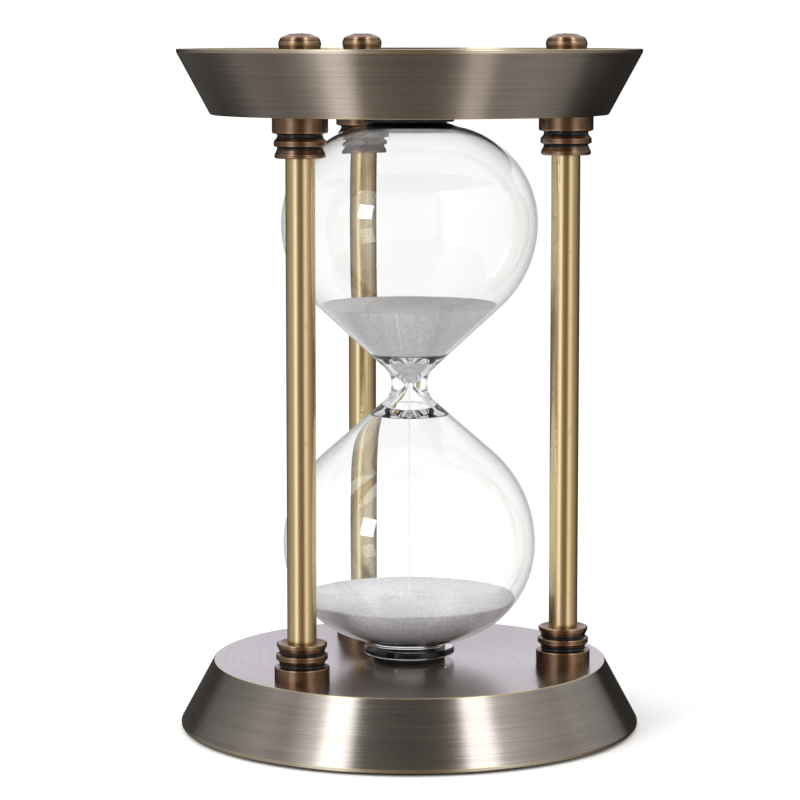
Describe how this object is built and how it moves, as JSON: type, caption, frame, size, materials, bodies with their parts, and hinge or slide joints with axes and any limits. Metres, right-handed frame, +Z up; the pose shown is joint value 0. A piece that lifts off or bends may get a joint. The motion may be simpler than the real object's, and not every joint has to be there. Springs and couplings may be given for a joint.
{
  "type": "hourglass",
  "caption": "Three-pillar metal hourglass with conical end plates, turned collars and a sealed sand glass; it stands on a table and is turned over to time.",
  "frame": {"origin": "middle of the foot disc's underside, on the surface that the hourglass stands on", "axes": "+Z up along the glass's axis, through the waist; +Y towards the rear pillar; +X to the right as seen with the rear pillar behind"},
  "size_m": [0.16, 0.16, 0.2412],
  "materials": {
    "plate_brass": "brushed antique brass with a dark patina",
    "cover_brass": "brushed antique brass",
    "pillar_brass": "satin antique brass",
    "collar_copper": "antique copper brown with black grooves",
    "screw_copper": "antique copper plated steel",
    "clear_glass": "clear blown glass",
    "white_sand": "fine white quartz sand",
    "black_rubber": "matt black rubber",
    "foot_rubber": "dark solid rubber",
    "spacer_metal": "turned aluminium"
  },
  "bodies": {
    "root": {"top_shell": "plate_brass", "top_cover": "cover_brass", "base_shell": "plate_brass", "base_cover": "cover_brass", "foot_disc": "foot_rubber", "rear_pillar": "pillar_brass", "rear_lower_collar": "collar_copper", "rear_upper_collar": "collar_copper", "rear_top_screw": "screw_copper", "rear_base_screw": "screw_copper", "rear_top_spacer": "spacer_metal", "rear_base_spacer": "spacer_metal", "left_pillar": "pillar_brass", "left_lower_collar": "collar_copper", "left_upper_collar": "collar_copper", "left_top_screw": "screw_copper", "left_base_screw": "screw_copper", "left_top_spacer": "spacer_metal", "left_base_spacer": "spacer_metal", "right_pillar": "pillar_brass", "right_lower_collar": "collar_copper", "right_upper_collar": "collar_copper", "right_top_screw": "screw_copper", "right_base_screw": "screw_copper", "right_top_spacer": "spacer_metal", "right_base_spacer": "spacer_metal", "lower_gasket": "black_rubber", "upper_gasket": "black_rubber", "glass_vessel": "clear_glass", "upper_sand": "white_sand", "lower_sand": "white_sand", "sand_stream": "white_sand"}
  },
  "joints": []
}
